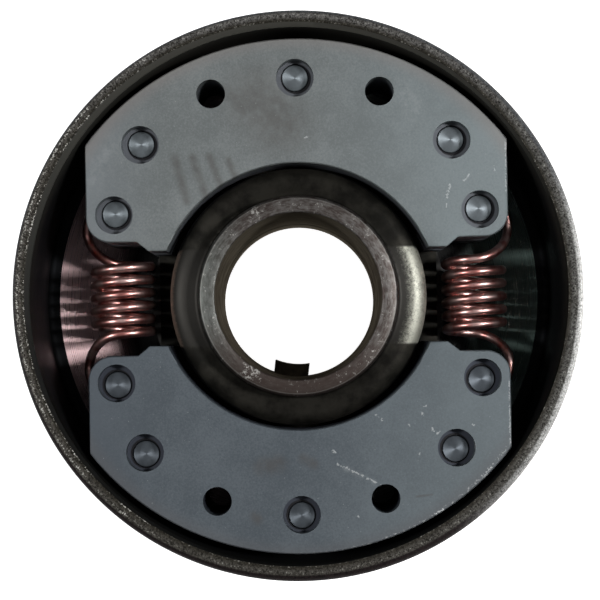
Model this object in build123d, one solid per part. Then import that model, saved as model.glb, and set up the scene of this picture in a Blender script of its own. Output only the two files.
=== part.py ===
from build123d import *
import os
from math import cos, degrees, hypot, radians, sin, sqrt, tan

# A centrifugal pulley clutch for a small engine.
# The hub turns with the engine's shaft. Two stacks of stamped plates, the shoes, slide outwards
# from it against two tension springs and grip the drum, and the drum turns the belt pulley.
# The origin is the centre of the pulley's rear face. +Z points out of the open side of the drum,
# +Y points to the upper shoe. All sizes are in millimetres and all angles in degrees.

# Clearances between pieces
press_gap = 0.01
running_gap = 0.05

# Hub, from its bore outwards
crank_bore_r = 15.0
sleeve_wall = 2.5
collar_wall = 3.0
shoulder_width = 5.3
hub_floor_gap = 1.0
hub_end_land = 2.0
step_relief = 0.4
shoulder_set_back = 2.5
shoulder_round = 2.6
collar_stand = 2.0
collar_chamfer = 0.6
collar_root_round = 0.8
bore_mouth_chamfer = 0.3
tongue_width = 6.8
tongue_height = 2.4
tongue_length = 11.5
tongue_angle = -97.0
relief_depth = 0.6
relief_length = 2.0
lug_half_width = 8.4
lug_length = 8.0
lug_stand = 2.61
lug_root = 2.0
lug_spring_gap = 0.5
flange_reach = 5.2
flange_spring_gap = 4.4
flange_side_gap = 0.2

# Ball bearing, whose balls and cage are shares of the height of its rings
bearing_section = 13.5
ball_share = 0.294
race_opening_share = 0.4963
cage_wall_share = 0.1926
ball_count = 11
ring_edge = 0.8
cage_rim = 0.931
cage_seal_gap = 0.9
seal_thickness = 0.8
seal_inset = 0.3
seal_gap = 0.15

# Spring rings that hold the bearing
bore_clip_thickness = 2.0
bore_clip_width = 3.8
bore_clip_groove = 1.5
shaft_clip_thickness = 1.5
shaft_clip_width = 3.4
shaft_clip_groove = 1.0
clip_groove_slack = 0.12
clip_gap_angle = 20.0
bore_clip_gap_towards = 90.0
shaft_clip_gap_towards = -90.0
clip_ear_r = 2.4
clip_ear_hole_r = 1.1

# Belt pulley
belt_top_width = 13.0
belt_angle = 38.0
belt_depth = 10.5
pulley_wall = 4.5
pulley_land = 2.0
pulley_lip = 2.0
pulley_edge = 0.6
lip_gap = 2.5
spigot_wall = 5.0

# Drum
drum_wall = 3.0
drum_floor = 4.0
drum_rim_stand = 3.0
drum_rim_round = 1.2
drum_rim_chamfer = 0.6
drum_corner_round = 2.2
drum_back_round = 2.5

# Shoes, drawn as the upper one
plate_thickness = 3.5
plate_count = 7
shoe_floor_gap = 1.5
shoe_travel_room = 1.7
shoe_hub_gap = 0.7
shoe_arc_drop = 1.6
shoe_corner_y = 27.755
shoe_corner_r = 4.3
shoe_tip_round = 0.5
toe_gap = 0.13
toe_spring_lap = 0.39
notch_slant = 2.1
notch_depth = 1.7
plate_edge = 0.2
flange_plate_gap = 2.5

# Pins and plain holes of a shoe
pin_r = 2.5
pin_chamfer = 0.25
pin_circle_edge = 6.7
pin_angles = (-45.0, 0.0, 45.0)
plain_hole_r = 2.6
plain_hole_angles = (-22.5, 22.5)
ring_hole_r = 3.4
ring_hole_drop = 0.35
end_pin_offset = 0.4
end_pin_edge = 5.0
end_pin_rise = 5.22

# Tension springs
wire_r = 0.84
coil_r = 5.25
coil_pitch = 2.41
coil_half_turns = 11
hook_r = 6.1
hook_wrap = 200.0
hook_pin_gap = 0.02
hook_scoop_gap = 1.2
hook_lead = 3.5
hook_drop = 2.0

# Radii of the hub and the bearing, from the bore outwards
shaft_seat_r = crank_bore_r + sleeve_wall
collar_r = crank_bore_r + collar_wall
hub_body_r = collar_r + shoulder_width
bearing_outer_r = shaft_seat_r + bearing_section
ball_r = ball_share * bearing_section
race_opening = race_opening_share * bearing_section
cage_wall = cage_wall_share * bearing_section
cage_width = 2 * (ball_r + 2 * running_gap + cage_rim)
bearing_width = cage_width + 2 * (cage_seal_gap + seal_thickness + seal_inset)

# Heights that follow from the pieces stacked on each other
bearing_rear_z = pulley_land + bore_clip_thickness
bearing_front_z = bearing_rear_z + bearing_width
bearing_mid_z = (bearing_rear_z + bearing_front_z) / 2
pulley_width = bearing_front_z + pulley_lip
drum_floor_z = pulley_width + drum_floor
shoe_rear_z = drum_floor_z + shoe_floor_gap
shoe_front_z = shoe_rear_z + plate_count * plate_thickness
shoe_mid_z = (shoe_rear_z + shoe_front_z) / 2
drum_rim_z = shoe_front_z + drum_rim_stand
hub_rear_z = bearing_rear_z - shaft_clip_thickness - hub_end_land
hub_body_rear_z = drum_floor_z + hub_floor_gap
shoulder_z = shoe_front_z - shoulder_set_back
collar_front_z = shoe_front_z + collar_stand

# Radii and reaches that follow from their neighbours, out to the drum round the shoes
pitch_r = (shaft_seat_r + bearing_outer_r) / 2
inner_shoulder_r = pitch_r - race_opening / 2
outer_shoulder_r = pitch_r + race_opening / 2
hub_step_r = inner_shoulder_r - step_relief
lip_r = hub_step_r + lip_gap
spigot_r = lip_r + spigot_wall
belt_bottom_r = bearing_outer_r + pulley_wall
pulley_r = belt_bottom_r + belt_depth
lug_reach = hub_body_r + lug_stand
spring_inner_x = lug_reach + lug_spring_gap
spring_x = spring_inner_x + wire_r + coil_r
flange_r = hub_body_r + flange_reach
flange_half_width = spring_inner_x - flange_spring_gap
toe_y = lug_half_width + toe_gap
toe_outer_x = spring_inner_x + toe_spring_lap
notch_y = toe_y + notch_depth
end_pin_x = spring_x + end_pin_offset
end_pin_y = notch_y + end_pin_rise
shoe_half_width = end_pin_x + end_pin_edge
drum_bore_r = hypot(shoe_half_width, shoe_corner_y + shoe_travel_room)
drum_outer_r = drum_bore_r + drum_wall
pin_circle_r = drum_bore_r - shoe_travel_room - pin_circle_edge
hook_y = end_pin_y + pin_r + hook_pin_gap - (hook_r - wire_r)


def ring(outer_r, inner_r, low_z, high_z):
    """A plain washer between two heights."""
    section = Circle(outer_r) - Circle(inner_r)
    return extrude(Plane.XY.offset(low_z) * section, amount=high_z - low_z)


def turned(points):
    """A turned piece from its half section, given as (radius, height) points."""
    section = make_face(Plane.XZ * Polyline(*points, close=True))
    return revolve(section, axis=Axis.Z)


def edge_at(piece, radius, height):
    """The round edge of a turned piece at this radius and height."""
    circles = piece.edges().filter_by(GeomType.CIRCLE)
    return circles.sort_by(lambda edge: hypot(edge.radius - radius, edge.arc_center.Z - height))[0]


def on_circle(radius, angle):
    """A point at this angle from the shoe's middle line."""
    return (radius * sin(radians(angle)), radius * cos(radians(angle)))


# Drum: a deep cup with a turned floor, pressed over the pulley's spigot
def make_drum():
    hole_r = spigot_r + press_gap
    drum = turned([
        (hole_r, pulley_width),
        (drum_outer_r, pulley_width),
        (drum_outer_r, drum_rim_z),
        (drum_bore_r, drum_rim_z),
        (drum_bore_r, drum_floor_z),
        (hole_r, drum_floor_z),
    ])
    drum = fillet(edge_at(drum, drum_outer_r, drum_rim_z), drum_rim_round)
    drum = fillet(edge_at(drum, drum_outer_r, pulley_width), drum_back_round)
    drum = fillet(edge_at(drum, drum_bore_r, drum_floor_z), drum_corner_round)
    return chamfer(edge_at(drum, drum_bore_r, drum_rim_z), drum_rim_chamfer)


# Belt pulley: one groove for a narrow belt, a bearing seat behind a lip, and the drum's spigot
def make_pulley():
    belt_mid_z = pulley_width / 2
    top_half = belt_top_width / 2
    bottom_half = top_half - belt_depth * tan(radians(belt_angle / 2))
    seat_r = bearing_outer_r + press_gap
    clip_groove_z = bearing_rear_z - bore_clip_thickness - clip_groove_slack
    pulley = turned([
        (pulley_r, 0),
        (pulley_r, belt_mid_z - top_half),
        (belt_bottom_r, belt_mid_z - bottom_half),
        (belt_bottom_r, belt_mid_z + bottom_half),
        (pulley_r, belt_mid_z + top_half),
        (pulley_r, pulley_width),
        (spigot_r, pulley_width),
        (spigot_r, drum_floor_z),
        (lip_r, drum_floor_z),
        (lip_r, bearing_front_z),
        (seat_r, bearing_front_z),
        (seat_r, bearing_rear_z),
        (seat_r + bore_clip_groove, bearing_rear_z),
        (seat_r + bore_clip_groove, clip_groove_z),
        (seat_r, clip_groove_z),
        (seat_r, 0),
    ])
    for radius, height in ((pulley_r, 0), (pulley_r, pulley_width), (seat_r, 0), (lip_r, drum_floor_z)):
        pulley = chamfer(edge_at(pulley, radius, height), pulley_edge)
    return pulley


# Ball bearing: two grooved rings, a cage with one pocket for each ball, and a seal at each side
def make_bearing():
    race = revolve(Plane.XZ * Pos(pitch_r, bearing_mid_z) * Circle(ball_r + running_gap), axis=Axis.Z)
    outer_ring = ring(bearing_outer_r, outer_shoulder_r, bearing_rear_z, bearing_front_z) - race
    inner_ring = ring(inner_shoulder_r, shaft_seat_r + press_gap, bearing_rear_z, bearing_front_z) - race
    for height in (bearing_rear_z, bearing_front_z):
        outer_ring = chamfer(edge_at(outer_ring, bearing_outer_r, height), ring_edge)
        inner_ring = chamfer(edge_at(inner_ring, shaft_seat_r, height), ring_edge)

    cage = ring(
        pitch_r + cage_wall / 2,
        pitch_r - cage_wall / 2,
        bearing_mid_z - cage_width / 2,
        bearing_mid_z + cage_width / 2,
    )
    pocket = Rot(0, 90, 0) * Cylinder(ball_r + 2 * running_gap, 2 * cage_wall)
    balls = []
    for number in range(ball_count):
        place = Rot(0, 0, 360 * number / ball_count) * Pos(pitch_r, 0, bearing_mid_z)
        cage -= place * pocket
        balls.append(place * Sphere(ball_r))

    def make_seal(low_z):
        return ring(outer_shoulder_r, inner_shoulder_r + seal_gap, low_z, low_z + seal_thickness)

    return {
        "bearing_outer_ring": outer_ring,
        "bearing_inner_ring": inner_ring,
        "bearing_cage": cage,
        "bearing_balls": Compound(children=balls),
        "bearing_rear_seal": make_seal(bearing_rear_z + seal_inset),
        "bearing_front_seal": make_seal(bearing_front_z - seal_inset - seal_thickness),
    }


# Spring rings: flat open rings with two eared ends for the pliers
def make_clip(outer_r, inner_r, ear_circle_r, low_z, thickness, gap_towards):
    """A ring whose ends face each other across a gap, seen from the origin towards this angle."""
    reach = 2 * outer_r
    half_gap = radians(clip_gap_angle / 2)
    wedge = Polyline(
        (0, 0),
        (reach * cos(half_gap), reach * sin(half_gap)),
        (reach * cos(half_gap), -reach * sin(half_gap)),
        close=True,
    )
    flat = Circle(outer_r) - Circle(inner_r) - make_face(wedge)
    for side in (1, -1):
        ear_angle = side * (clip_gap_angle / 2 + degrees(clip_ear_r / ear_circle_r))
        ear = Rot(0, 0, ear_angle) * Pos(ear_circle_r, 0)
        flat = flat + ear * Circle(clip_ear_r) - ear * Circle(clip_ear_hole_r)
    return extrude(Plane.XY.offset(low_z) * Rot(0, 0, gap_towards) * flat, amount=thickness)


def make_clips():
    bore_clip_r = bearing_outer_r + bore_clip_groove - clip_groove_slack
    shaft_clip_r = shaft_seat_r - shaft_clip_groove + clip_groove_slack
    bore_clip = make_clip(
        bore_clip_r,
        bore_clip_r - bore_clip_width,
        bore_clip_r - bore_clip_width - clip_ear_hole_r,
        bearing_rear_z - bore_clip_thickness,
        bore_clip_thickness,
        bore_clip_gap_towards,
    )
    shaft_clip = make_clip(
        shaft_clip_r + shaft_clip_width,
        shaft_clip_r,
        shaft_clip_r + shaft_clip_width,
        bearing_rear_z - shaft_clip_thickness,
        shaft_clip_thickness,
        shaft_clip_gap_towards,
    )
    return {"bore_clip": bore_clip, "shaft_clip": shaft_clip}


# Hub: a turned sleeve with a collar, a flange that keeps the shoes in line, two lugs that drive
# them, and a tongue in the rear of its bore for the slot in the engine's shaft
def make_hub():
    clip_low_z = bearing_rear_z - shaft_clip_thickness - clip_groove_slack
    relief_z = hub_rear_z + tongue_length
    hub = turned([
        (crank_bore_r, hub_rear_z),
        (shaft_seat_r, hub_rear_z),
        (shaft_seat_r, clip_low_z),
        (shaft_seat_r - shaft_clip_groove, clip_low_z),
        (shaft_seat_r - shaft_clip_groove, bearing_rear_z),
        (shaft_seat_r, bearing_rear_z),
        (shaft_seat_r, bearing_front_z),
        (hub_step_r, bearing_front_z),
        (hub_step_r, hub_body_rear_z),
        (hub_body_r, hub_body_rear_z),
        (hub_body_r, shoulder_z),
        (collar_r, shoulder_z),
        (collar_r, collar_front_z),
        (crank_bore_r, collar_front_z),
        (crank_bore_r, relief_z + relief_length),
        (crank_bore_r + relief_depth, relief_z + relief_length),
        (crank_bore_r + relief_depth, relief_z),
        (crank_bore_r, relief_z),
    ])
    hub = fillet(edge_at(hub, hub_body_r, shoulder_z), shoulder_round)
    hub = fillet(edge_at(hub, collar_r, shoulder_z), collar_root_round)
    hub = chamfer(edge_at(hub, collar_r, collar_front_z), collar_chamfer)
    hub = chamfer(edge_at(hub, crank_bore_r, collar_front_z), bore_mouth_chamfer)
    hub = chamfer(edge_at(hub, shaft_seat_r, hub_rear_z), collar_chamfer)

    lug_width = lug_stand + lug_root
    for side in (1, -1):
        lug = Box(lug_width, 2 * lug_half_width, lug_length)
        lug_x = lug_reach - lug_width / 2
        hub += Pos(side * lug_x, 0, hub_body_rear_z + lug_length / 2) * lug

    flange_half = plate_thickness / 2 - flange_side_gap
    flange = ring(flange_r, hub_body_r - lug_root, shoe_mid_z - flange_half, shoe_mid_z + flange_half)
    flange &= Pos(0, 0, shoe_mid_z) * Box(2 * flange_half_width, 2 * flange_r, plate_thickness)
    hub += flange

    tongue = ring(crank_bore_r + relief_depth, crank_bore_r - tongue_height, hub_rear_z, relief_z)
    key_bar = Box(2 * crank_bore_r, tongue_width, tongue_length)
    tongue &= Rot(0, 0, tongue_angle) * Pos(crank_bore_r, 0, hub_rear_z + tongue_length / 2) * key_bar
    return hub + tongue


# Shoe plates: stamped, all of one outline, with arcs struck from centres set towards the far side
def plate_outline():
    outer_corner = (shoe_half_width, shoe_corner_y)
    inner_top = hub_body_r + shoe_hub_gap
    inner_arc_r = inner_top + shoe_arc_drop
    toe_inner = (sqrt(inner_arc_r**2 - (toe_y + shoe_arc_drop) ** 2), toe_y)
    side = [
        outer_corner,
        (shoe_half_width, notch_y),
        (toe_outer_x + notch_slant, notch_y),
        (toe_outer_x, toe_y),
        toe_inner,
    ]
    other_side = [(-x, y) for x, y in side]
    outline = make_face(
        Polyline(*side).edges()
        + Polyline(*other_side).edges()
        + ThreePointArc(other_side[0], (0, drum_bore_r - shoe_travel_room), side[0]).edges()
        + ThreePointArc(other_side[-1], (0, inner_top), side[-1]).edges()
    )

    def corners(x, y):
        return [v for v in outline.vertices() if hypot(abs(v.X) - x, v.Y - y) < plate_edge]

    outline = fillet(corners(shoe_half_width, notch_y), shoe_corner_r)
    return fillet(corners(*outer_corner), shoe_tip_round)


def pin_places():
    """The five pins of the upper shoe: three on a circle and one at each end for the springs."""
    places = [on_circle(pin_circle_r, angle) for angle in pin_angles]
    return places + [(end_pin_x, end_pin_y), (-end_pin_x, end_pin_y)]


def make_plate(number):
    """One plate of the upper shoe, counted from the rear."""
    is_outside = number in (1, plate_count)
    is_middle = number == (plate_count + 1) // 2
    flat = plate_outline()
    for angle in plain_hole_angles:
        flat -= Pos(*on_circle(pin_circle_r, angle)) * Circle(plain_hole_r)
    for x, y in pin_places():
        if is_outside:
            flat -= Pos(x, y - ring_hole_drop) * Circle(ring_hole_r)
        else:
            flat -= Pos(x, y) * Circle(pin_r + press_gap)
    if is_middle:
        flat -= Circle(flange_r + flange_plate_gap)
        for side in (1, -1):
            flat -= Pos(side * end_pin_x, hook_y) * Circle(hook_r + wire_r + hook_scoop_gap)
    low_z = shoe_rear_z + (number - 1) * plate_thickness
    plate = extrude(Plane.XY.offset(low_z) * flat, amount=plate_thickness)
    flat_faces = plate.faces().filter_by(Axis.Z).sort_by(Axis.Z)
    rims = flat_faces[0].outer_wire().edges() + flat_faces[-1].outer_wire().edges()
    return chamfer(rims, plate_edge)


def make_pins():
    """The pins pass through all plates but the two outside ones."""
    length = (plate_count - 2) * plate_thickness
    pin = Cylinder(pin_r, length)
    pin = chamfer(pin.edges().filter_by(GeomType.CIRCLE), pin_chamfer)
    return Compound(children=[Pos(x, y, shoe_mid_z) * pin for x, y in pin_places()])


# Springs: close turns of round wire. Each half turn is half a circle, tilted so that it climbs
# by half a pitch. One end leaves at the front of the coil and the other at the back, and both
# pass outside their pin and hook round it in the plane of the middle plate.
def spring_path():
    """The middle line of the left spring, from its lower hook to its upper one."""
    inner_side, outer_side = -spring_x + coil_r, -spring_x - coil_r
    half_turn_r = hypot(coil_r, coil_pitch / 4)
    rise = coil_pitch / 2
    first_y = -coil_half_turns * rise / 2
    slant = Vector(2 * coil_r, rise, 0).normalized()
    front = Vector(-spring_x, first_y, shoe_mid_z + half_turn_r)

    def on_loop(angle):
        x = -end_pin_x - hook_r * cos(radians(angle))
        return Vector(x, -hook_y - hook_r * sin(radians(angle)), shoe_mid_z)

    loop = ThreePointArc(on_loop(hook_wrap), on_loop(hook_wrap / 2), on_loop(0))
    lead = Bezier(on_loop(0), on_loop(0) + Vector(0, hook_drop, 0), front - slant * hook_lead, front)

    def side_point(number):
        x = inner_side if number % 2 == 0 else outer_side
        return Vector(x, first_y + rise / 2 + number * rise, shoe_mid_z)

    def quarter_middle(start, centre, end):
        middle = (start + end) / 2 - centre
        return centre + middle.normalized() * half_turn_r

    first_centre = Vector(-spring_x, first_y, shoe_mid_z)
    first_quarter = ThreePointArc(front, quarter_middle(front, first_centre, side_point(0)), side_point(0))
    turns = []
    for number in range(coil_half_turns - 1):
        start, end = side_point(number), side_point(number + 1)
        depth = -half_turn_r if number % 2 == 0 else half_turn_r
        turns.append(ThreePointArc(start, (start + end) / 2 + Vector(0, 0, depth), end))

    # The upper end is the lower one turned half round about a line across the spring's middle
    def turned_over(curve):
        return Pos(0, 0, shoe_mid_z) * Rot(180, 0, 0) * Pos(0, 0, -shoe_mid_z) * curve

    lower_end = [loop, lead, first_quarter]
    upper_end = [turned_over(curve) for curve in lower_end]
    return Wire([edge for curve in lower_end + turns + upper_end for edge in curve.edges()])


def make_left_spring():
    path = spring_path()
    start = Plane(origin=path @ 0, z_dir=path % 0)
    return sweep(start * Circle(wire_r), path=path)


def make_parts():
    parts = {"drum_shell": make_drum(), "belt_pulley": make_pulley(), "hub": make_hub()}
    parts.update(make_bearing())
    parts.update(make_clips())

    upper = {f"shoe_plate_{number}": make_plate(number) for number in range(1, plate_count + 1)}
    upper["shoe_pins"] = make_pins()
    for name, piece in upper.items():
        parts["upper_" + name] = piece
        parts["lower_" + name] = Rot(0, 0, 180) * piece

    left_spring = make_left_spring()
    parts["left_spring"] = left_spring
    parts["right_spring"] = Rot(0, 0, 180) * left_spring
    return parts


os.makedirs("parts", exist_ok=True)
for name, piece in make_parts().items():
    export_step(piece, f"parts/{name}.step")
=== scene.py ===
from math import cos, hypot, pi, radians, sin

import bpy
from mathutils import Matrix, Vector


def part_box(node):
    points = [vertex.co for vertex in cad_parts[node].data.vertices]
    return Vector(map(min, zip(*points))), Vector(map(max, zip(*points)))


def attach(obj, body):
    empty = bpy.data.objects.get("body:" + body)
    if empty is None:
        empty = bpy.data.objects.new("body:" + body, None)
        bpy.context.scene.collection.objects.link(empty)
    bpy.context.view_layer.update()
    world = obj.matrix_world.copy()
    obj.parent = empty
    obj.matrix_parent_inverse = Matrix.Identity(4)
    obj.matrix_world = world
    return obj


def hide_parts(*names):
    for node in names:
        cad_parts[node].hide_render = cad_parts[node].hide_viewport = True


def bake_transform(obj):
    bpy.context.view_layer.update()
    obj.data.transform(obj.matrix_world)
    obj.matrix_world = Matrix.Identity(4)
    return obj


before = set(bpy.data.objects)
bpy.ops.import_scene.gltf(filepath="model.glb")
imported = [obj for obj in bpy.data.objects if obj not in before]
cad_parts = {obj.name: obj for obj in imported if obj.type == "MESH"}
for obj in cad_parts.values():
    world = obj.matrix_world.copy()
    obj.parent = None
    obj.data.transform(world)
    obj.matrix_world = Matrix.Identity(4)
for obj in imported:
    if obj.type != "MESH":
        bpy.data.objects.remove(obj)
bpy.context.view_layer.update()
MM = 0.001

# The place where the clutch is seen
# It lies on its pulley on a plain pale floor, and the camera looks straight down into the open
# drum. Two small soft boxes hang left and right above it, one stands low on its right, and two
# wide faint ones hang over its upper and lower side.

CAMERA_FOCAL = 126.0
CAMERA_SENSOR = 36.0
CAMERA_OVER_RIM = 374.0 * MM
CAMERA_BESIDE_AXIS = (1.20 * MM, -8.60 * MM)
CAMERA_ROLL = radians(-0.95)
CAMERA_SHIFT = (-0.0097, 0.0734)
CAMERA_NEAREST = 0.01
CAMERA_FARTHEST = 50.0
FLOOR_REACH = 30.0
FLOOR_GLOW = 0.99
SKY_COLOUR = (0.92, 0.96, 1.0)
SKY_STRENGTH = 0.014

# Each soft box by its place, width and height in metres, and power in watts
SOFT_BOXES = {
    "left_soft_box": ((-0.55, 0.03, 0.75), 0.09, 0.17, 3.5),
    "right_soft_box": ((0.47, 0.05, 0.78), 0.08, 0.17, 5.8),
    "low_right_soft_box": ((0.85, -0.04, 0.03), 0.32, 0.06, 10.0),
    "upper_soft_box": ((0.0, 0.47, 0.90), 0.90, 0.45, 0.62),
    "lower_soft_box": ((0.0, -0.47, 0.90), 0.90, 0.45, 0.58),
}

rim_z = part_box("drum_shell")[1].z


def placed(name, data):
    """A new object of the scene, at its origin."""
    thing = bpy.data.objects.new(name, data)
    bpy.context.scene.collection.objects.link(thing)
    return thing


def soft_box(name, place, width, height, power):
    """A rectangular lamp that faces the clutch."""
    lamp = bpy.data.lights.new(name, "AREA")
    lamp.shape = "RECTANGLE"
    lamp.size, lamp.size_y = width, height
    lamp.energy = power
    holder = placed(name, lamp)
    holder.location = place
    aim = Vector((0.0, 0.0, rim_z)) - Vector(place)
    holder.rotation_euler = aim.to_track_quat("-Z", "Y").to_euler()


camera_data = bpy.data.cameras.new("camera")
camera_data.lens = CAMERA_FOCAL
camera_data.sensor_width = CAMERA_SENSOR
camera_data.clip_start = CAMERA_NEAREST
camera_data.clip_end = CAMERA_FARTHEST
camera_data.shift_x, camera_data.shift_y = CAMERA_SHIFT
camera = placed("camera", camera_data)
camera.location = (*CAMERA_BESIDE_AXIS, rim_z + CAMERA_OVER_RIM)
camera.rotation_euler = (0.0, 0.0, CAMERA_ROLL)
bpy.context.scene.camera = camera
bpy.context.scene.view_settings.view_transform = "Standard"

for name, sizes in SOFT_BOXES.items():
    soft_box(name, *sizes)

world = bpy.data.worlds.new("studio")
world.use_nodes = True
world.node_tree.nodes["Background"].inputs["Color"].default_value = (*SKY_COLOUR, 1.0)
world.node_tree.nodes["Background"].inputs["Strength"].default_value = SKY_STRENGTH
bpy.context.scene.world = world


class Value:
    """A number that changes over a surface. Arithmetic on it adds Math nodes to its finish."""

    def __init__(self, finish, socket):
        self.finish = finish
        self.socket = socket

    def math(self, operation, *others):
        inputs = dict(enumerate((self, *others)))
        return self.finish.value("ShaderNodeMath", {"operation": operation}, inputs)

    def after(self, operation, other):
        return self.finish.value("ShaderNodeMath", {"operation": operation}, {0: other, 1: self})

    def __add__(self, other):
        return self.math("ADD", other)

    def __radd__(self, other):
        return self.math("ADD", other)

    def __sub__(self, other):
        return self.math("SUBTRACT", other)

    def __rsub__(self, other):
        return self.after("SUBTRACT", other)

    def __mul__(self, other):
        return self.math("MULTIPLY", other)

    def __truediv__(self, other):
        return self.math("DIVIDE", other)

    def size(self):
        return self.math("ABSOLUTE")

    def wave(self):
        """Runs from 0 to 1 and back as the value grows by a full turn in radians."""
        return self.math("SINE") * 0.5 + 0.5

    def at_least(self, other):
        return self.math("MAXIMUM", other)

    def at_most(self, other):
        return self.math("MINIMUM", other)

    def above(self, low, high):
        """0 up to the first number, 1 from the second, and smooth between them."""
        settings = {"interpolation_type": "SMOOTHSTEP"}
        inputs = {0: self, 1: low, 2: high, 3: 0.0, 4: 1.0}
        return self.finish.value("ShaderNodeMapRange", settings, inputs)

    def below(self, low, high):
        return 1 - self.above(low, high)

    def near(self, middle, reach):
        """1 at the middle, falling to 0 at this distance from it."""
        return (self - middle).size().below(0.0, reach)


class Finish:
    """The material of a piece. Lengths in it are in millimetres, on the piece's own coordinates."""

    def __init__(self, name, metallic=1.0, roughness=0.5, **fixed):
        self.material = bpy.data.materials.new(name)
        self.material.use_nodes = True
        self.tree = self.material.node_tree
        self.shader = self.tree.nodes["Principled BSDF"]
        self.shader.inputs["Metallic"].default_value = metallic
        self.shader.inputs["Roughness"].default_value = roughness
        for key, number in fixed.items():
            socket_name = key.replace("_", " ").title().replace("Ior", "IOR")
            self.shader.inputs[socket_name].default_value = number
        place = self.tree.nodes.new("ShaderNodeTexCoord").outputs["Object"]
        scaled = self.node("ShaderNodeVectorMath", {"operation": "SCALE"}, {0: place, "Scale": 1 / MM})
        self.place = scaled.outputs[0]
        parts = self.node("ShaderNodeSeparateXYZ", inputs={0: self.place})
        self.x, self.y, self.z = (Value(self, socket) for socket in parts.outputs)

    def node(self, kind, settings=None, inputs=None):
        """A node with its settings, and then the values or links of its sockets."""
        node = self.tree.nodes.new(kind)
        for key, setting in (settings or {}).items():
            setattr(node, key, setting)
        for key, given in (inputs or {}).items():
            self.feed(node.inputs[key], given)
        return node

    def feed(self, socket, given):
        """Gives a socket a link, a colour or a number."""
        if isinstance(given, Value):
            given = given.socket
        if isinstance(given, bpy.types.NodeSocket):
            self.tree.links.new(given, socket)
        elif isinstance(given, tuple) and len(given) == 3 and socket.type == "RGBA":
            socket.default_value = (*given, 1.0)
        else:
            socket.default_value = given

    def value(self, kind, settings=None, inputs=None):
        return Value(self, self.node(kind, settings, inputs).outputs[0])

    def noise(self, size, detail=3.0, roughness=0.55, place=None, stretch=None, seed=0.0):
        """Cloudy noise from 0 to 1, with patches of about this size."""
        place = place or self.place
        if stretch:
            stretched = self.node("ShaderNodeMapping", inputs={"Vector": place, "Scale": stretch})
            place = stretched.outputs[0]
        inputs = {"Vector": place, "W": seed, "Scale": 1 / size, "Detail": detail, "Roughness": roughness}
        return self.value("ShaderNodeTexNoise", {"noise_dimensions": "4D"}, inputs)

    def radius(self, centre=(0.0, 0.0)):
        """The distance to the drum's axis, or to a line beside it."""
        x, y = self.x - centre[0], self.y - centre[1]
        return (x * x + y * y).math("SQRT")

    def round_place(self):
        """Coordinates that run round the axis: arc length at 50 mm, radius and height."""
        arc_length = self.y.math("ARCTAN2", self.x) * 50.0
        inputs = {0: arc_length, 1: self.radius(), 2: self.z}
        return self.node("ShaderNodeCombineXYZ", inputs=inputs).outputs[0]

    def mix(self, share, colour, other):
        """The first colour where the share is 0, and the other where it is 1."""
        node = self.node("ShaderNodeMix", {"data_type": "RGBA"}, {0: share, 6: colour, 7: other})
        return node.outputs[2]

    def bump(self, height, depth, under=None):
        """Raises or sinks the surface by this many millimetres where the height is 1."""
        inputs = {"Height": height, "Distance": depth * MM, "Strength": 1.0}
        if under is not None:
            inputs["Normal"] = under
        return self.node("ShaderNodeBump", inputs=inputs).outputs[0]

    def wear(self, **inputs):
        """Feeds the shader's colour, roughness, metallic and normal, and gives the material."""
        for name, given in inputs.items():
            socket = {"colour": "Base Color"}.get(name, name.title())
            self.feed(self.shader.inputs[socket], given)
        return self.material


def floor_finish():
    """A plain pale floor that glows, so that it looks evenly white."""
    finish = Finish("floor_finish", metallic=0.0, roughness=0.6)
    shade = finish.noise(400.0, detail=2.0)
    finish.shader.inputs["Emission Color"].default_value = (1.0, 1.0, 1.0, 1.0)
    finish.shader.inputs["Emission Strength"].default_value = FLOOR_GLOW
    return finish.wear(colour=finish.mix(shade, (0.60, 0.60, 0.60), (0.66, 0.66, 0.66)))


floor_mesh = bpy.data.meshes.new("studio_floor")
corners = [(x * FLOOR_REACH, y * FLOOR_REACH, 0) for x, y in ((-1, -1), (1, -1), (1, 1), (-1, 1))]
floor_mesh.from_pydata(corners, [], [(0, 1, 2, 3)])
floor_mesh.materials.append(floor_finish())
floor = placed("studio_floor", floor_mesh)


# Pieces
# A piece is a turned mesh, a drawn wire or a smooth copy of a CAD node. Its mesh holds its
# place, so that its object sits at the origin.

TURN_STEPS = 360
ARC_STEPS = 8
SHARP_ANGLE = 32.0
WELD_REACH = 1e-6


def arc(centre, radius, start, end):
    """Points of an arc in a half section, between two angles in degrees."""
    angles = [radians(start + (end - start) * step / ARC_STEPS) for step in range(ARC_STEPS + 1)]
    return [(centre[0] + radius * cos(a), centre[1] + radius * sin(a)) for a in angles]


def new_piece(name, mesh, body, replaced, material):
    """Puts a finished mesh into the scene on its body, in place of its CAD nodes."""
    mesh.materials.clear()
    mesh.materials.append(material)
    piece = placed(name, mesh)
    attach(piece, body)
    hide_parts(*replaced)
    return piece


def finished_mesh(holder):
    """The mesh of an object after its modifiers. The object itself is removed."""
    bpy.context.view_layer.update()
    seen = holder.evaluated_get(bpy.context.evaluated_depsgraph_get())
    mesh = bpy.data.meshes.new_from_object(seen)
    bpy.data.objects.remove(holder)
    return mesh


def smoothed(mesh, angle=SHARP_ANGLE):
    """Smooth faces with sharp edges left sharp, and flat faces kept flat beside rounds."""
    mesh.shade_smooth()
    mesh.set_sharp_from_angle(angle=radians(angle))
    holder = placed("smoothing", mesh)
    weighted = holder.modifiers.new("weighted", "WEIGHTED_NORMAL")
    weighted.keep_sharp = True
    weighted.weight = 100
    return finished_mesh(holder)


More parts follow.
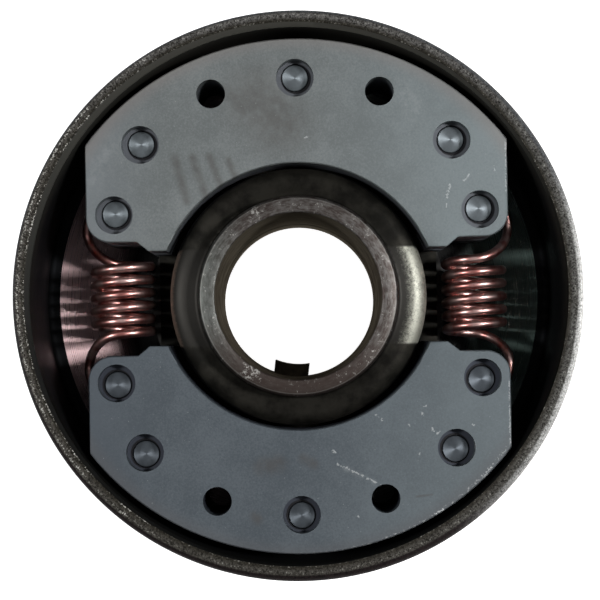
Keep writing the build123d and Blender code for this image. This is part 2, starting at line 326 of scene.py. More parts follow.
def lathe(name, section_at, steps=TURN_STEPS, axis=(0.0, 0.0)):
    """A turned mesh. At each angle its closed half section is given as (radius, height) points."""
    corners, faces = [], []
    count = len(section_at(0.0))
    for step in range(steps):
        angle = 2 * pi * step / steps
        for r, z in section_at(angle):
            corners.append((axis[0] + r * cos(angle), axis[1] + r * sin(angle), z))
    for step in range(steps):
        here, there = step * count, (step + 1) % steps * count
        for number in range(count):
            after = (number + 1) % count
            faces.append((here + number, there + number, there + after, here + after))
    mesh = bpy.data.meshes.new(name)
    mesh.from_pydata(corners, [], faces)
    return smoothed(mesh)


def dressed(node, name, body, material, angle=SHARP_ANGLE):
    """A smooth copy of a CAD node that stands for it."""
    holder = placed("merging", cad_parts[node].data.copy())
    weld = holder.modifiers.new("weld", "WELD")
    weld.merge_threshold = WELD_REACH
    mesh = smoothed(finished_mesh(holder), angle)
    mesh.name = name
    return new_piece(name, mesh, body, [node], material)


def refinish(mesh, material, inside):
    """Gives the faces whose middle passes the test (radius, height in mm) another finish."""
    mesh.materials.append(material)
    for face in mesh.polygons:
        x, y, z = face.center / MM
        if inside(hypot(x, y), z):
            face.material_index = len(mesh.materials) - 1


# Drum shell
# A deep steel cup, blackened, then turned bright on its floor. Its rim is rounded outside and
# chamfered inside, and handling has worn the black off it in small bright flecks. The rim was
# faced a little out of true, so its flat is wider on one side.

RIM_ROUND = 1.16 * MM
RIM_RUNOUT = 0.55 * MM
RIM_RUNOUT_SIDE = radians(135.0)
RIM_CHAMFER = 0.6 * MM
WALL_THICKNESS = 3.0 * MM
FLOOR_THICKNESS = 4.0 * MM
FLOOR_HOLE_R = 28.01 * MM
TURNED_FLOOR_R = 45.8 * MM
BACK_ROUND = 2.5 * MM
CORNER_ROUND = 1.2 * MM

drum_low, drum_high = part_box("drum_shell")
drum_r, back_z, front_z = drum_high.x, drum_low.z, drum_high.z
wall_r = drum_r - WALL_THICKNESS
floor_z = back_z + FLOOR_THICKNESS


def drum_section(angle):
    """The drum's half section, from the hole in its floor round the outside to the floor."""
    aside = RIM_RUNOUT * cos(angle - RIM_RUNOUT_SIDE)
    round_w = RIM_ROUND - aside
    round_h = 0.4 * MM + 0.6 * round_w
    inner_w = RIM_CHAMFER + aside
    rounding = [
        (drum_r - round_w + round_w * r, front_z - round_h + round_h * z)
        for r, z in arc((0, 0), 1, 0, 90)
    ]
    return (
        [(FLOOR_HOLE_R, back_z)]
        + arc((drum_r - BACK_ROUND, back_z + BACK_ROUND), BACK_ROUND, -90, 0)
        + rounding
        + [(wall_r + inner_w, front_z), (wall_r, front_z - RIM_CHAMFER)]
        + arc((wall_r - CORNER_ROUND, floor_z + CORNER_ROUND), CORNER_ROUND, 0, -90)
        + [(TURNED_FLOOR_R, floor_z), (FLOOR_HOLE_R, floor_z)]
    )


# The middle of the rim's flat lies beside the axis, by this much along x and y in mm
FLAT_MIDDLE = (-0.385, 0.385)


def drum_steel():
    """Black and oily, with a grey flecked rim that is worn bright at its edges."""
    finish = Finish("blackened_drum_steel", metallic=0.9, roughness=0.5, specular_ior_level=0.15)
    radius = finish.radius()
    on_rim = finish.z.above(52.88, 52.98) * radius.above(47.8, 48.0)
    on_round = finish.z.above(51.0, 51.6) * radius.above(48.9, 49.1) * (1 - on_rim)
    near_rim = finish.z.above(43.0, 52.0)
    patches = finish.noise(3.0, detail=5.0, roughness=0.7)
    flecks = finish.noise(0.32, detail=3.0, roughness=0.8, seed=3.0)
    left_side = finish.x * -1.0 - finish.y.size() * 0.8

    # Bright flecks along both edges of the flat, in stretches, and more of them on the left
    flat_radius = finish.radius(FLAT_MIDDLE)
    edges = flat_radius.near(49.75, 0.40).at_least(flat_radius.near(48.65, 0.30))
    stretches = finish.noise(7.0, detail=3.0, roughness=0.7, seed=21.0)
    stretches = (stretches + left_side * 0.0035).above(0.46, 0.66)
    bright = (flecks + edges * 0.10 + stretches * 0.05).above(0.66, 0.72)
    worn = on_rim * bright * (0.35 + stretches * 0.6)

    # The flat, lighter towards the upper right, the left and the top, which is painted light, and black
    # at its outside
    lit_side = (finish.x * 0.8 + finish.y * 0.6).above(-30.0, 45.0)
    outer_share = (flat_radius + patches * 0.6).above(49.0, 49.9)
    grey = finish.mix(lit_side, (0.070, 0.065, 0.056), (0.094, 0.092, 0.086))
    grey = finish.mix(left_side.above(0.0, 45.0), grey, (0.102, 0.094, 0.082))
    grey = finish.mix(finish.y.above(25.0, 49.0), grey, (0.122, 0.118, 0.112))
    grey = finish.mix(outer_share, (0.028, 0.025, 0.018), grey)
    flat_colour = finish.mix(flecks.above(0.38, 0.60), (0.007, 0.006, 0.004), grey)

    # The round outside, with painted shade on the lower side and a flecked painted highlight on the right
    upper_side = finish.y.above(-35.0, 40.0)
    painted_highlight_side = (finish.x * 0.97 - finish.y * 0.24).above(36.0, 49.0)
    dark = finish.mix(upper_side, (0.004, 0.003, 0.003), (0.012, 0.0125, 0.0135))
    light = finish.mix(upper_side, (0.018, 0.012, 0.012), (0.082, 0.085, 0.089))
    painted_light_colour = finish.mix(flecks.above(0.3, 0.7), (0.03, 0.03, 0.025), (0.40, 0.40, 0.39))
    round_colour = finish.mix(flecks.above(0.35, 0.65), dark, light)
    round_colour = finish.mix(painted_highlight_side, round_colour, painted_light_colour)

    # The wall, lighter towards the top as painted light, with an oily band under the rim whose top side
    # is also painted lighter
    # The band's colour is lighter towards the top: painted light
    oily = finish.mix(finish.y.above(-20.0, 48.0), (0.005, 0.005, 0.004), (0.042, 0.041, 0.035))
    colour = finish.mix(patches, (0.008, 0.009, 0.011), (0.015, 0.0155, 0.016))
    colour = finish.mix(finish.y.above(10.0, 48.0), colour, (0.032, 0.030, 0.026))
    colour = finish.mix(near_rim * (0.4 + patches), colour, oily)
    colour = finish.mix(on_rim, colour, flat_colour)
    colour = finish.mix(on_round, colour, round_colour)
    colour = finish.mix(worn.at_most(1.0), colour, (0.50, 0.49, 0.46))
    return finish.wear(
        colour=colour,
        roughness=0.60 - on_rim * 0.10 - on_round * 0.12 + patches * 0.14,
        metallic=0.9 - near_rim * 0.6,
        normal=finish.bump(on_rim * flecks, 0.02, under=finish.bump(patches, 0.02)),
    )


def turned_floor_steel():
    """Turned rings, pink on the left, a painted reflection of the copper springs, and painted shade that
    is green to black on the right, black near the hub and darker away from the springs.
    """
    finish = Finish("turned_drum_floor", metallic=1.0, anisotropic=1.0, anisotropic_rotation=0.25)
    rings = finish.noise(0.5, detail=4.0, place=finish.round_place(), stretch=(0.02, 3.0, 1.0))
    painted_shade_shape = finish.noise(9.0, detail=2.0, seed=6.0)
    # The right side green and darker, painted shade, and the left side pink, a painted reflection of the
    # copper springs
    right_side = (finish.x + painted_shade_shape * 20.0).above(-12.0, 34.0)
    shaded_away_from_springs = (finish.y.size() + painted_shade_shape * 4.0).above(14.0, 21.0)
    pink = finish.mix(rings, (0.50, 0.34, 0.34), (0.72, 0.52, 0.53))
    green = finish.mix(rings, (0.10, 0.14, 0.125), (0.20, 0.27, 0.245))
    colour = finish.mix(right_side, pink, green)
    # Black near the middle, a painted shadow of the hub and plates
    colour = finish.mix(finish.radius().above(32.0, 38.5), (0.03, 0.03, 0.03), colour)
    # Darker above and below, away from the springs, painted shade
    colour = finish.mix(shaded_away_from_springs * 0.75, colour, (0.035, 0.032, 0.032))
    return finish.wear(colour=colour, roughness=0.24 + rings * 0.08)


def on_turned_floor(radius, height):
    return radius < TURNED_FLOOR_R / MM - 0.1 and abs(height - floor_z / MM) < 0.3


drum_mesh = lathe("drum_shell_turned", drum_section)
new_piece("drum_shell_turned", drum_mesh, "drum", ["drum_shell"], drum_steel())
refinish(drum_mesh, turned_floor_steel(), on_turned_floor)


# Belt pulley
# A turned steel pulley with one groove for a narrow belt. It is pressed into the drum's floor
# and holds the bearing. The belt keeps the flanks of its groove polished. Sizes are in mm.

GROOVE_MIDDLE = 10.0
GROOVE_TOP_HALF = 6.5
GROOVE_BOTTOM_HALF = 2.885
GROOVE_BOTTOM_R = 35.5
PULLEY_WIDTH = 20.0
SPIGOT_R = 28.0
LIP_R = 23.0
LIP_REAR = 18.0
SEAT_R = 31.01
CLIP_GROOVE_R = 32.51
CLIP_GROOVE_REAR = 1.88
CLIP_GROOVE_FRONT = 4.0
EDGE_ROUND = 0.5
EASE_STEPS = 6
PULLEY_STEPS = 240

pulley_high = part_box("belt_pulley")[1]
pulley_r, spigot_front = pulley_high.x / MM, pulley_high.z / MM

# The corners of the half section, each with whether it is rounded
PULLEY_CORNERS = [
    (SEAT_R, 0.0, True),
    (pulley_r, 0.0, True),
    (pulley_r, GROOVE_MIDDLE - GROOVE_TOP_HALF, True),
    (GROOVE_BOTTOM_R, GROOVE_MIDDLE - GROOVE_BOTTOM_HALF, True),
    (GROOVE_BOTTOM_R, GROOVE_MIDDLE + GROOVE_BOTTOM_HALF, True),
    (pulley_r, GROOVE_MIDDLE + GROOVE_TOP_HALF, True),
    (pulley_r, PULLEY_WIDTH, True),
    (SPIGOT_R, PULLEY_WIDTH, False),
    (SPIGOT_R, spigot_front, False),
    (LIP_R, spigot_front, True),
    (LIP_R, LIP_REAR, False),
    (SEAT_R, LIP_REAR, False),
    (SEAT_R, CLIP_GROOVE_FRONT, False),
    (CLIP_GROOVE_R, CLIP_GROOVE_FRONT, False),
    (CLIP_GROOVE_R, CLIP_GROOVE_REAR, False),
    (SEAT_R, CLIP_GROOVE_REAR, False),
]


def eased(before, corner, after):
    """A round that takes the place of a section's corner."""
    ends = []
    for point in (before, after):
        run = (point[0] - corner[0], point[1] - corner[1])
        share = EDGE_ROUND / hypot(*run)
        ends.append((corner[0] + run[0] * share, corner[1] + run[1] * share))
    points = []
    for step in range(EASE_STEPS + 1):
        t = step / EASE_STEPS
        first, middle, last = (1 - t) ** 2, 2 * t * (1 - t), t * t
        r, z = (first * ends[0][i] + middle * corner[i] + last * ends[1][i] for i in (0, 1))
        points.append((r, z))
    return points


def pulley_section(angle):
    """The pulley's half section, with its edges rounded. It is the same at every angle."""
    section = []
    for number, (*corner, rounded) in enumerate(PULLEY_CORNERS):
        before = PULLEY_CORNERS[number - 1]
        after = PULLEY_CORNERS[(number + 1) % len(PULLEY_CORNERS)]
        section += eased(before, corner, after) if rounded else [corner]
    return [(r * MM, z * MM) for r, z in section]


def pulley_steel():
    """Dark steel with fine turning lines, polished by the belt on the groove's flanks."""
    finish = Finish("turned_pulley_steel", metallic=0.9, roughness=0.4)
    radius = finish.radius()
    flank = finish.z.near(10.0, 6.0) * radius.above(36.0, 37.5)
    patches = finish.noise(4.0, detail=5.0, roughness=0.65)
    round_place = finish.round_place()
    streaks = finish.noise(1.2, detail=4.0, place=round_place, stretch=(0.1, 4.0, 4.0), seed=2.0)
    polished = finish.mix(streaks, (0.30, 0.30, 0.30), (0.50, 0.50, 0.50))
    colour = finish.mix(patches, (0.035, 0.034, 0.033), (0.075, 0.072, 0.068))
    lines = ((radius + finish.z) * 14.0).wave()
    return finish.wear(
        colour=finish.mix(flank, colour, polished),
        roughness=0.42 - flank * 0.16 + patches * 0.15,
        normal=finish.bump(patches, 0.006, under=finish.bump(lines, 0.003)),
    )


pulley_mesh = lathe("belt_pulley_turned", pulley_section, steps=PULLEY_STEPS)
new_piece("belt_pulley_turned", pulley_mesh, "drum", ["belt_pulley"], pulley_steel())


# Ball bearing and its spring rings
# Ground rings, a pressed cage with its balls, and black rubber seals. A spring ring behind each
# of the two bearing rings keeps it on its seat.

BALL_SHARP_ANGLE = 80.0


def bearing_steel():
    """Ground steel, with fine marks that run round it."""
    finish = Finish("ground_bearing_steel", metallic=1.0, roughness=0.25)
    ground = finish.noise(0.6, detail=4.0, place=finish.round_place(), stretch=(0.08, 4.0, 4.0))
    return finish.wear(
        colour=finish.mix(ground, (0.42, 0.42, 0.42), (0.60, 0.60, 0.60)),
        roughness=0.20 + ground * 0.18,
        normal=finish.bump(ground, 0.004),
    )


def seal_rubber():
    """Black rubber with moulded ribs."""
    finish = Finish("seal_rubber", metallic=0.0, roughness=0.6)
    grain = finish.noise(0.3, detail=3.0)
    ribs = (finish.radius() * 4.2).wave()
    return finish.wear(
        colour=finish.mix(grain, (0.012, 0.012, 0.012), (0.024, 0.024, 0.024)),
        roughness=0.5 + grain * 0.2,
        normal=finish.bump(ribs, 0.08),
    )


def clip_steel():
    """Blackened spring steel."""
    finish = Finish("blackened_clip_steel", metallic=0.9, roughness=0.4)
    patches = finish.noise(1.5, detail=4.0)
    return finish.wear(
        colour=finish.mix(patches, (0.03, 0.03, 0.032), (0.09, 0.09, 0.09)),
        roughness=0.32 + patches * 0.2,
        normal=finish.bump(patches, 0.02),
    )


def cage_steel():
    """Pressed sheet, a little yellow."""
    finish = Finish("pressed_cage_steel", metallic=1.0, roughness=0.35)
    grain = finish.noise(0.8, detail=4.0)
    colour = finish.mix(grain, (0.34, 0.33, 0.31), (0.48, 0.46, 0.43))
    return finish.wear(colour=colour, roughness=0.28 + grain * 0.2)


ground_steel, rubber, black_steel = bearing_steel(), seal_rubber(), clip_steel()
dressed("bearing_outer_ring", "outer_ring_ground", "drum", ground_steel)
dressed("bearing_inner_ring", "inner_ring_ground", "hub", ground_steel)
dressed("bearing_rear_seal", "rear_seal_moulded", "drum", rubber)
dressed("bearing_front_seal", "front_seal_moulded", "drum", rubber)
dressed("bore_clip", "bore_clip_stamped", "drum", black_steel)
dressed("shaft_clip", "shaft_clip_stamped", "hub", black_steel)
dressed("bearing_cage", "cage_pressed", "bearing_cage", cage_steel())
dressed(
    "bearing_balls", "balls_polished", "bearing_cage", ground_steel, BALL_SHARP_ANGLE
)


# Hub
# Turned from bar and heat treated, so that it is brown to black and oily. The front collar's
# flat face is rubbed pale, and the shoulder has painted light and highlights between the shoes.

COLLAR_FLAT_R = 18.2
COLLAR_REAR = 51.0
BORE_FLARE_R = 17.6
BORE_FRONT = 51.6


def hub_steel():
    """Brown and oily, with painted light on both sides between the shoes and painted highlights on the
    shoulder's edge there.
    """
    finish = Finish("oily_hub_steel", metallic=0.85, anisotropic=0.65, anisotropic_rotation=0.25)
    radius = finish.radius()
    patches = finish.noise(5.0, detail=6.0, roughness=0.65)
    fine = finish.noise(0.45, detail=4.0, roughness=0.8, seed=4.0)
    # Painted light between the shoes' ends, where they leave the shoulder unshaded, and painted
    # highlights on its edge, brighter on the right
    between_shoes = finish.y.size().below(8.5, 9.0) * finish.z.above(44.6, 45.6)
    painted_highlight_right = between_shoes * (radius + fine * 3.0).above(20.8, 23.8)
    painted_highlight_right = painted_highlight_right * finish.x.above(0.0, 10.0) * (patches + fine * 0.8).above(0.55, 1.0)
    painted_highlight_left = between_shoes * (radius + fine).above(22.9, 23.6) * finish.x.below(-10.0, 0.0)
    painted_light_colour = finish.mix(patches, (0.012, 0.0115, 0.010), (0.030, 0.028, 0.025))
    colour = finish.mix(patches.above(0.35, 0.65), (0.008, 0.0075, 0.006), (0.029, 0.027, 0.022))
    colour = finish.mix(between_shoes, colour, painted_light_colour)
    colour = finish.mix(painted_highlight_left, colour, (0.160, 0.120, 0.095))
    colour = finish.mix(painted_highlight_right, colour, (0.34, 0.34, 0.29))
    normal = finish.bump(fine, 0.010)
    return finish.wear(colour=colour, roughness=0.38 + patches * 0.20, normal=normal)


def collar_steel():
    """Rubbed grey with brown blotches, and bruised in two places."""
    finish = Finish("rubbed_collar_steel", metallic=0.85, anisotropic=0.3, anisotropic_rotation=0.25)
    blotches = finish.noise(2.4, detail=5.0, roughness=0.75, seed=17.0)
    round_place = finish.round_place()
    arcs = finish.noise(0.7, detail=4.0, place=round_place, stretch=(0.22, 2.5, 1.0), seed=4.0)
    specks = finish.noise(0.60, detail=4.0, roughness=0.8, seed=8.0)
    bruises = finish.radius((-8.4, -13.6)).near(0.0, 3.2)
    bruises = bruises.at_least(finish.radius((-7.6, 15.2)).near(0.0, 2.2))
    lower_side = finish.y.below(-16.0, -2.0) * (0.4 + blotches * 0.8)
    pale = (specks + bruises * 0.10).above(0.57, 0.66) * (blotches + bruises * 0.3).above(0.46, 0.56)
    pale = pale + finish.radius().near(17.5, 0.18) * 0.25
    mottled = (blotches * 0.5 + arcs * 0.5).above(0.38, 0.62)
    colour = finish.mix(mottled, (0.045, 0.034, 0.030), (0.125, 0.118, 0.112))
    colour = finish.mix(finish.x.below(-18.0, -8.0) * 0.4, colour, (0.074, 0.098, 0.090))
    colour = finish.mix(lower_side.at_most(1.0), colour, (0.050, 0.036, 0.031))
    colour = finish.mix(pale.at_most(1.0), colour, (0.36, 0.35, 0.33))
    normal = finish.bump(specks, 0.012)
    return finish.wear(colour=colour, roughness=0.42 + arcs * 0.14, normal=normal)


def bore_scale():
    """Dull brown scale and oil in the bore, greyer on the flare at its front."""
    finish = Finish("oily_bore_scale", metallic=0.0, roughness=0.85, specular_ior_level=0.0)
    patches = finish.noise(4.0, detail=6.0, roughness=0.7)
    brown = finish.mix(patches.above(0.3, 0.7), (0.052, 0.043, 0.034), (0.135, 0.116, 0.086))
    brown = finish.mix(finish.y.above(4.0, 15.0) * 0.6, brown, (0.165, 0.145, 0.110))
    colour = finish.mix(finish.radius().above(15.2, 15.5), brown, (0.040, 0.040, 0.034))
    normal = finish.bump(patches, 0.02)
    return finish.wear(colour=colour, roughness=0.75 + patches * 0.2, normal=normal)


def on_collar(radius, height):
    return height > COLLAR_REAR and radius < COLLAR_FLAT_R


def in_bore(radius, height):
    return radius < BORE_FLARE_R and height < BORE_FRONT


hub_piece = dressed("hub", "hub_turned", "hub", hub_steel())
refinish(hub_piece.data, collar_steel(), on_collar)
refinish(hub_piece.data, bore_scale(), in_bore)


# Shoe plates
# Each shoe is a stack of steel plates stamped with one tool. Their faces are dull and smooth,
# with fine scratches; the upper shoe's are a neutral grey, and the lower one's darker, bluer
# colour is painted shade.

PIN_R = 2.5
PIN_CIRCLE = 39.6
PIN_ANGLES = (-45, 0, 45)
END_PIN = (32.9, 15.45)
PLATE_SHARP_ANGLE = 25.0

# Each shoe's side, its colours, how far the painted shadow round its pins lies to one side, and
# the marks on its front face. The lower shoe's colours, its pins' too, are a darker copy of the
# upper's, painted shade. A mark runs from one point to another and has a half width, in mm.
SHOES = {
    "upper": {
        "side": 1,
        "seat": (0.130, 0.140, 0.158),
        "shadow_aside": (0.20, -0.16),
        "cool": (0.142, 0.160, 0.172),
        "dark": (0.112, 0.125, 0.126),
        "light": (0.166, 0.181, 0.182),
        "bluish": (0.145, 0.170, 0.177),
        "warm": (0.18, 0.160, 0.150),
        "stains": [
            ((-21.8, 25.1), (-19.7, 17.5), 1.4),
            ((-18.6, 25.1), (-16.3, 18.3), 1.3),
            ((-15.6, 25.4), (-13.6, 20.2), 1.2),
            ((-12.2, 24.6), (-11.0, 21.7), 1.1),
            ((-7.0, 35.5), (-3.0, 31.5), 9.5),
            ((-3.5, 35.5), (-1.0, 30.0), 4.5),
            ((-12.0, 37.0), (-9.0, 33.0), 2.6),
        ],
        "rubs": [
            ((30.0, 20.2), (31.0, 21.4), 0.42),
            ((27.5, 19.6), (26.9, 17.2), 0.55),
            ((26.8, 16.2), (26.9, 15.6), 0.40),
            ((35.5, 22.9), (35.6, 22.1), 0.40),
            ((1.4, 28.3), (2.0, 28.6), 0.40),
            ((37.6, 18.0), (37.6, 27.0), 0.30),
        ],
        "smears": [((19.4, 37.0), (21.4, 33.0), 3.0), ((-37.0, 22.0), (-33.0, 27.0), 4.0)],
        "pins": (0.215, 0.245, 0.265),
    },
    "lower": {
        "side": -1,
        "seat": (0.046, 0.053, 0.072),
        "shadow_aside": (-0.14, 0.10),
        "cool": (0.060, 0.073, 0.088),
        "dark": (0.054, 0.067, 0.079),
        "light": (0.084, 0.100, 0.114),
        "bluish": (0.100, 0.120, 0.131),
        "warm": (0.080, 0.080, 0.084),
        "stains": [
            ((-7.0, -30.5), (-4.0, -30.0), 2.6),
            ((0.5, -29.2), (2.2, -30.2), 1.6),
            ((-8.4, -39.4), (-7.9, -40.0), 1.6),
            ((20.7, -36.3), (23.4, -36.0), 0.35),
        ],
        "rubs": [
            ((6.5, -30.2), (9.6, -31.7), 0.45),
            ((9.4, -31.6), (14.6, -34.3), 0.42),
            ((5.8, -27.8), (6.1, -28.2), 0.60),
            ((13.6, -21.6), (14.0, -21.8), 0.50),
            ((14.5, -22.2), (14.7, -22.5), 0.45),
            ((21.9, -21.2), (21.9, -21.8), 0.45),
            ((22.3, -20.2), (22.6, -20.0), 0.45),
            ((19.4, -23.3), (19.6, -23.4), 0.45),
            ((23.6, -24.1), (23.9, -24.6), 0.45),
            ((21.1, -28.6), (21.3, -28.6), 0.45),
            ((30.9, -23.5), (31.1, -23.7), 0.45),
            ((31.0, -26.6), (31.4, -27.8), 0.45),
            ((28.9, -28.6), (29.1, -28.4), 0.45),
            ((24.5, -25.1), (24.9, -24.7), 0.40),
            ((25.4, -28.0), (25.7, -28.4), 0.40),
            ((33.0, -32.9), (34.2, -31.6), 0.80),
            ((37.6, -15.5), (37.6, -27.0), 0.35),
            ((10.0, -39.6), (10.2, -39.9), 0.40),
            ((24.2, -39.4), (25.2, -38.8), 0.45),
            ((18.5, -42.9), (19.4, -42.4), 0.40),
        ],
        "smears": [((8.0, -31.0), (13.0, -33.6), 0.9)],
        "pins": (0.120, 0.138, 0.158),
    },
}


def scaled(share, colour):
    """A colour made darker or lighter."""
    return tuple(share * part for part in colour)


def folded(operation, values):
    """One value from several, with this operation between each and the next."""
    result = values[0]
    for value in values[1:]:
        result = result.math(operation, value)
    return result


def line_mark(finish, start, end, width):
    """1 along a straight mark between two points, fading to 0 beside it."""
    x, y = finish.x - start[0], finish.y - start[1]
    run = (end[0] - start[0], end[1] - start[1])
    along = (x * run[0] + y * run[1]) / (run[0] ** 2 + run[1] ** 2)
    along = along.at_least(0.0).at_most(1.0)
    x, y = x - along * run[0], y - along * run[1]
    return (x * x + y * y).math("SQRT").below(0.0, width)


def all_marks(finish, marks):
    """The marks of a list as one mask."""
    return folded("MAXIMUM", [line_mark(finish, *mark) for mark in marks])


def pin_places(side):
    """The middles of a shoe's five pins, in mm."""
    places = [
        (PIN_CIRCLE * sin(radians(angle)), side * PIN_CIRCLE * cos(radians(angle)))
        for angle in PIN_ANGLES
    ]
    return places + [(END_PIN[0], side * END_PIN[1]), (-END_PIN[0], side * END_PIN[1])]


def pin_distance(finish, side, aside=(0.0, 0.0)):
    """The distance to the middle of the nearest pin of a shoe, or to a point beside it."""
    middles = [(x + aside[0], y + aside[1]) for x, y in pin_places(side)]
    return folded("MINIMUM", [finish.radius(middle) for middle in middles])


def plate_steel(shoe, colours):
    """The dull face of a stamped plate, with its marks."""
    finish = Finish(shoe + "_plate_steel", metallic=0.45)
    clouds = finish.noise(9.0, detail=5.0, roughness=0.6)
    grain = finish.noise(0.35, detail=3.0, roughness=0.7, seed=5.0)
    chips = finish.noise(0.45, detail=3.0, roughness=0.7, seed=9.0)
    patchy = finish.noise(1.6, detail=4.0, roughness=0.7, seed=13.0)
    left_end = finish.x.below(-40.0, -22.0)
    right_side = (finish.x + clouds * 12.0).above(2.0, 40.0)
    struck_side = (finish.x * 0.8 - finish.y * 0.6).above(20.0, 45.0)
    edge = finish.radius().above(43.5, 46.6)
    stains = all_marks(finish, colours["stains"]) * (patchy + grain * 0.35).above(0.28, 0.80)
    smears = all_marks(finish, colours["smears"]) * patchy.above(0.35, 0.75)
    rubs = (all_marks(finish, colours["rubs"]) * 0.22 + chips).above(0.66, 0.74)
    specks = (chips + struck_side * 0.04).above(0.73, 0.77)
    nicks = finish.radius().near(46.2, 0.5) * struck_side * chips.above(0.54, 0.60)
    pale = smears * 0.16 + specks * 0.30 + rubs * 0.42 + nicks * 0.5
    mottled = (clouds * 0.45 + grain * 0.55).above(0.36, 0.64)
    bluish = finish.mix(mottled, scaled(0.9, colours["bluish"]), scaled(1.1, colours["bluish"]))
    colour = finish.mix(mottled, colours["dark"], colours["light"])
    colour = finish.mix(right_side, colour, bluish)
    colour = finish.mix(left_end * 0.7, colour, colours["cool"])
    colour = finish.mix(edge * 0.5, colour, colours["warm"])
    colour = finish.mix(stains * 0.56, colour, (0.056, 0.050, 0.045))
    colour = finish.mix(pale, colour, (0.50, 0.52, 0.52))
    normal = finish.bump(rubs, 0.01, under=finish.bump(grain, 0.006))
    return finish.wear(colour=colour, roughness=0.46 + clouds * 0.12, normal=normal)


def pin_shadow_plate_steel(shoe, colours):
    """The plates behind the front one. They show in its ring holes, with a painted shadow round the pins,
    set to one side of each.
    """
    finish = Finish(shoe + "_oily_plate_steel", metallic=0.45)
    clouds = finish.noise(3.0, detail=4.0)
    reach = pin_distance(finish, colours["side"], colours["shadow_aside"])
    # A painted shadow round each pin, set a little to one side
    painted_shade_shape = reach.below(PIN_R + 0.12, PIN_R + 0.34)
    colour = finish.mix(clouds, scaled(0.75, colours["seat"]), colours["seat"])
    colour = finish.mix(painted_shade_shape, colour, (0.006, 0.006, 0.009))
    return finish.wear(colour=colour, roughness=0.46 + clouds * 0.12)


for shoe, colours in SHOES.items():
    outer_steel = plate_steel(shoe, colours)
    inner_steel = pin_shadow_plate_steel(shoe, colours)
    plates = sorted(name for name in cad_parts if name.startswith(shoe + "_shoe_plate"))
    for node in plates:
        material = outer_steel if node in (plates[0], plates[-1]) else inner_steel
        dressed(node, node + "_stamped", shoe + "_shoe", material, PLATE_SHARP_ANGLE)


# Shoe pins
# Plain steel pins, faced in the lathe so that each end shines in a narrow fan, with a fine
# chamfer round it and painted shade on its edge, so that the bright face is a little smaller than
# the pin. Each pin is a piece of its own, because the fan turns about the middle of its piece.

PIN_CHAMFER = 0.25 * MM
PIN_MIDDLE = 0.01 * MM
PIN_STEPS = 64
BRIGHT_FACE_R = 2.30

pin_low, pin_high = (corner.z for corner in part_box("upper_shoe_pins"))


def pin_section(angle):
    """The half section of a pin, from its back end to its front end, the same at every angle."""
    r = PIN_R * MM
    return [
        (PIN_MIDDLE, pin_low),
        (r - PIN_CHAMFER, pin_low),
        (r, pin_low + PIN_CHAMFER),
        (r, pin_high - PIN_CHAMFER),
        (r - PIN_CHAMFER, pin_high),
        (PIN_MIDDLE, pin_high),
    ]


def pin_steel(shoe, colours):
    """Bright turned rings, with painted shade round their edge."""
    name = shoe + "_turned_pin_steel"
    finish = Finish(name, metallic=0.7, anisotropic=0.7, anisotropic_rotation=0.25)
    radius = pin_distance(finish, colours["side"])
    grain = finish.noise(0.5, detail=3.0)
    # Painted shade on the pin's edge
    painted_shade_edge = radius.above(BRIGHT_FACE_R, BRIGHT_FACE_R + 0.1)
    colour = finish.mix(grain, scaled(0.7, colours["pins"]), colours["pins"])
    colour = finish.mix(painted_shade_edge, colour, (0.01, 0.011, 0.014))
    normal = finish.bump((radius * 22.0).wave(), 0.002)
    return finish.wear(colour=colour, roughness=0.36 + grain * 0.12, normal=normal)


for shoe, colours in SHOES.items():
    material = pin_steel(shoe, colours)
    for number, (x, y) in enumerate(pin_places(colours["side"]), start=1):
        name = f"{shoe}_shoe_pin_{number}_turned"
        mesh = lathe(name, pin_section, steps=PIN_STEPS, axis=(x * MM, y * MM))
        new_piece(name, mesh, shoe + "_shoe", [shoe + "_shoe_pins"], material)


# Tension springs
# Coppered spring wire in close turns. Each end leaves the coil, one at the front and one at the
# back, passes outside its pin and hooks round it between the plates. Each spring is made in two
# halves, from its middle to the hook on each shoe.

WIRE_R = 0.84
COIL_R = 5.25
COIL_PITCH = 2.41
COIL_TURNS = 5.5
HOOK_R = 6.1
HOOK_ASIDE = 0.4
HOOK_WRAP = 200.0
HOOK_LEAD = 4.6
HOOK_DROP = 2.5
COIL_SHIFT = 0.25
COIL_LEAN = 0.15
WIRE_SIDES = 24
STEPS_PER_TURN = 56
LEAD_STEPS = 24
HOOK_STEPS = 48

spring_low, spring_high = (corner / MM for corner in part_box("left_spring"))
HOOK_X = spring_low.x + WIRE_R + HOOK_R
SPRING_X = HOOK_X + HOOK_ASIDE
SPRING_Z = (spring_low.z + spring_high.z) / 2
HOOK_Y = spring_high.y - WIRE_R - HOOK_R


def curve_between(start, handle, other, end):
    """Points inside a smooth curve between two ends, with a handle at each."""
    points = []
    for step in range(1, LEAD_STEPS):
        t = step / LEAD_STEPS
        s = 1 - t
        points.append(s**3 * start + 3 * s * s * t * handle + 3 * s * t * t * other + t**3 * end)
    return points


def upper_half_line(shift, lean):
    """The middle line of the left spring from its middle to the end of its upper hook, in mm."""
    turn_count = COIL_TURNS / 2
    steps = int(turn_count * STEPS_PER_TURN)
    points = []
    for step in range(steps + 1):
        turn = turn_count * step / steps
        angle = 2 * pi * (turn - turn_count) - pi / 2
        y = turn * COIL_PITCH + shift + lean * sin(angle)
        points.append(Vector((SPRING_X - COIL_R * cos(angle), y, SPRING_Z + COIL_R * sin(angle))))
    loop_start = Vector((HOOK_X - HOOK_R, HOOK_Y, SPRING_Z))
    leaving = (points[-1] - points[-2]).normalized()
    lead = points[-1] + leaving * HOOK_LEAD
    drop = loop_start - Vector((0, HOOK_DROP, 0))
    points += curve_between(points[-1], lead, drop, loop_start)
    for step in range(HOOK_STEPS + 1):
        angle = radians(HOOK_WRAP) * step / HOOK_STEPS
        x, y = HOOK_X - HOOK_R * cos(angle), HOOK_Y + HOOK_R * sin(angle)
        points.append(Vector((x, y, SPRING_Z)))
    return points


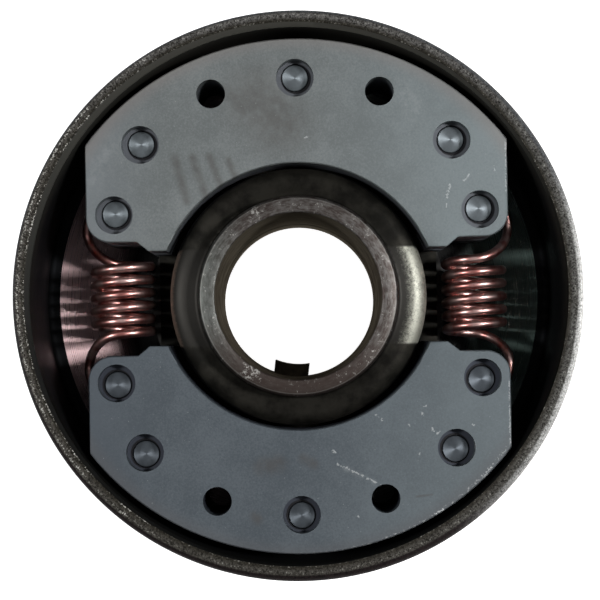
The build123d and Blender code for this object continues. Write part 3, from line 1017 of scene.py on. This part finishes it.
def wire_tree():
    """Draws a round wire along a curve and gives it its finish."""
    tree = bpy.data.node_groups.new("drawn_wire", "GeometryNodeTree")
    tree.interface.new_socket("Geometry", in_out="INPUT", socket_type="NodeSocketGeometry")
    tree.interface.new_socket("Wire radius", in_out="INPUT", socket_type="NodeSocketFloat")
    tree.interface.new_socket("Sides", in_out="INPUT", socket_type="NodeSocketInt")
    tree.interface.new_socket("Finish", in_out="INPUT", socket_type="NodeSocketMaterial")
    tree.interface.new_socket("Geometry", in_out="OUTPUT", socket_type="NodeSocketGeometry")
    given = tree.nodes.new("NodeGroupInput")
    section = tree.nodes.new("GeometryNodeCurvePrimitiveCircle")
    sweep = tree.nodes.new("GeometryNodeCurveToMesh")
    smooth = tree.nodes.new("GeometryNodeSetShadeSmooth")
    real = tree.nodes.new("GeometryNodeRealizeInstances")
    finish = tree.nodes.new("GeometryNodeSetMaterial")
    result = tree.nodes.new("NodeGroupOutput")
    link = tree.links.new
    link(given.outputs["Wire radius"], section.inputs["Radius"])
    link(given.outputs["Sides"], section.inputs["Resolution"])
    link(given.outputs["Geometry"], sweep.inputs["Curve"])
    link(section.outputs["Curve"], sweep.inputs["Profile Curve"])
    sweep.inputs["Fill Caps"].default_value = True
    link(sweep.outputs["Mesh"], smooth.inputs["Geometry"])
    link(smooth.outputs["Geometry"], real.inputs["Geometry"])
    link(real.outputs["Geometry"], finish.inputs["Geometry"])
    link(given.outputs["Finish"], finish.inputs["Material"])
    link(finish.outputs["Geometry"], result.inputs["Geometry"])
    return tree


def set_inputs(modifier, **values):
    """Sets a tree's named inputs, whose names have spaces for underlines."""
    for item in modifier.node_group.interface.items_tree:
        name = item.name.replace(" ", "_")
        if item.in_out == "INPUT" and name in values:
            modifier[item.identifier] = values[name]


def spring_wire():
    """Coppered wire with a sheen, tarnished in patches."""
    finish = Finish("coppered_spring_wire", metallic=1.0, coat_weight=0.6, coat_roughness=0.12)
    tarnish = finish.noise(2.6, detail=4.0, roughness=0.6)
    grain = finish.noise(0.25, detail=3.0, seed=2.0)
    colour = finish.mix(tarnish.above(0.35, 0.65), (0.45, 0.17, 0.15), (0.64, 0.44, 0.41))
    normal = finish.bump(grain, 0.006)
    return finish.wear(colour=colour, roughness=0.28 + tarnish * 0.14, normal=normal)


wire_steel = spring_wire()
drawn_wire = wire_tree()


def spring_half(name, points, replaced):
    """One half of a spring, as a wire from its middle to its hook on a shoe."""
    line = bpy.data.curves.new(name, "CURVE")
    line.dimensions = "3D"
    spline = line.splines.new("POLY")
    spline.points.add(len(points) - 1)
    for place, point in zip(spline.points, points):
        place.co = (*(point * MM), 1.0)
    holder = placed(name + "_line", line)
    drawing = holder.modifiers.new("drawn_wire", "NODES")
    drawing.node_group = drawn_wire
    set_inputs(drawing, Wire_radius=WIRE_R * MM, Sides=WIRE_SIDES, Finish=wire_steel)
    piece = placed(name, finished_mesh(holder))
    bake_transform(piece)
    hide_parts(replaced)


for side, sign in {"left": 1, "right": -1}.items():
    upper = upper_half_line(COIL_SHIFT, sign * COIL_LEAN)
    mirrored = upper_half_line(-COIL_SHIFT, sign * COIL_LEAN)
    lower = [Vector((p.x, -p.y, 2 * SPRING_Z - p.z)) for p in mirrored]
    for half in (upper, lower):
        points = [Vector((sign * p.x, sign * p.y, p.z)) for p in half]
        shoe = "upper_shoe" if points[-1].y > 0 else "lower_shoe"
        spring_half(f"{side}_spring_{shoe[:5]}_half", points, side + "_spring")
